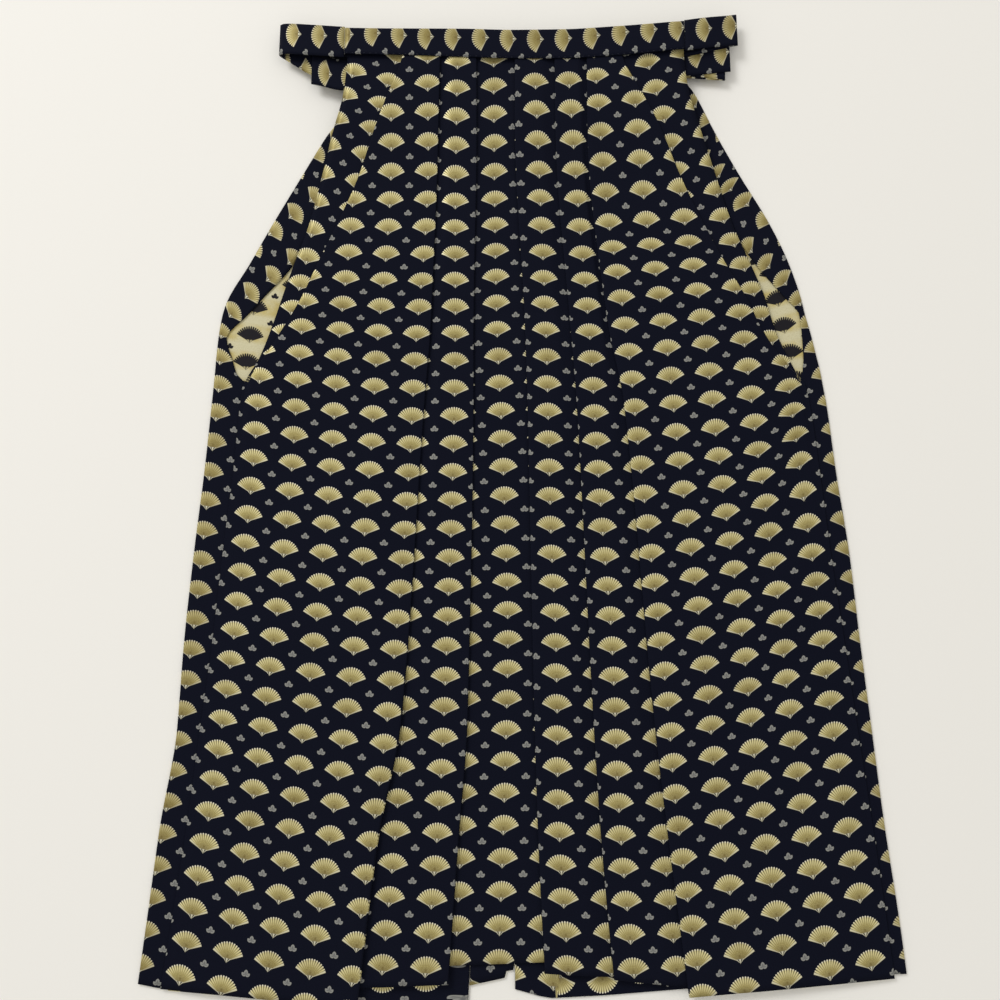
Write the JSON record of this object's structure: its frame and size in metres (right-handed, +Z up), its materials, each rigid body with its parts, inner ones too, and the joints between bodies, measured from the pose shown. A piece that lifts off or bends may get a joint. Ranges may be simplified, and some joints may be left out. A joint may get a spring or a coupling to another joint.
{
  "type": "hakama trousers",
  "caption": "Wide pleated wrap trousers with open sides, a doubled front waistband and long flat ties, laid flat with the front up, the ties folded in behind the waist.",
  "frame": {"origin": "middle of the underside of the bounding box of the laid garment", "axes": "+X across, towards the wearer's left side; +Y along the legs, towards the waist; +Z up, out of the front of the garment"},
  "size_m": [0.6758, 0.9588, 0.0193],
  "materials": {
    "front_right_cloth": "matte woven silk, gold and silver figure",
    "front_left_cloth": "matte woven silk, gold and silver figure",
    "back_right_cloth": "matte woven silk, gold and silver figure",
    "back_left_cloth": "matte woven silk, gold and silver figure",
    "back_right_hem_cloth": "matte woven silk, gold and silver figure",
    "back_left_hem_cloth": "matte woven silk, gold and silver figure",
    "right_gusset_cloth": "matte woven silk, gold and silver figure",
    "left_gusset_cloth": "matte woven silk, gold and silver figure",
    "front_waistband_cloth": "matte woven silk, gold and silver figure",
    "front_tie_right_cloth": "matte woven silk, gold and silver figure",
    "front_tie_left_cloth": "matte woven silk, gold and silver figure",
    "back_waistband_cloth": "matte woven silk, gold and silver figure",
    "back_tie_right_cloth": "matte woven silk, gold and silver figure",
    "back_tie_left_cloth": "matte woven silk, gold and silver figure"
  },
  "bodies": {
    "root": {"front_right": "front_right_cloth", "front_left": "front_left_cloth", "back_right": "back_right_cloth", "back_left": "back_left_cloth", "back_right_hem": "back_right_hem_cloth", "back_left_hem": "back_left_hem_cloth", "right_gusset": "right_gusset_cloth", "left_gusset": "left_gusset_cloth", "front_waistband": "front_waistband_cloth", "front_tie_right": "front_tie_right_cloth", "front_tie_left": "front_tie_left_cloth", "back_waistband": "back_waistband_cloth", "back_tie_right": "back_tie_right_cloth", "back_tie_left": "back_tie_left_cloth"}
  },
  "joints": []
}
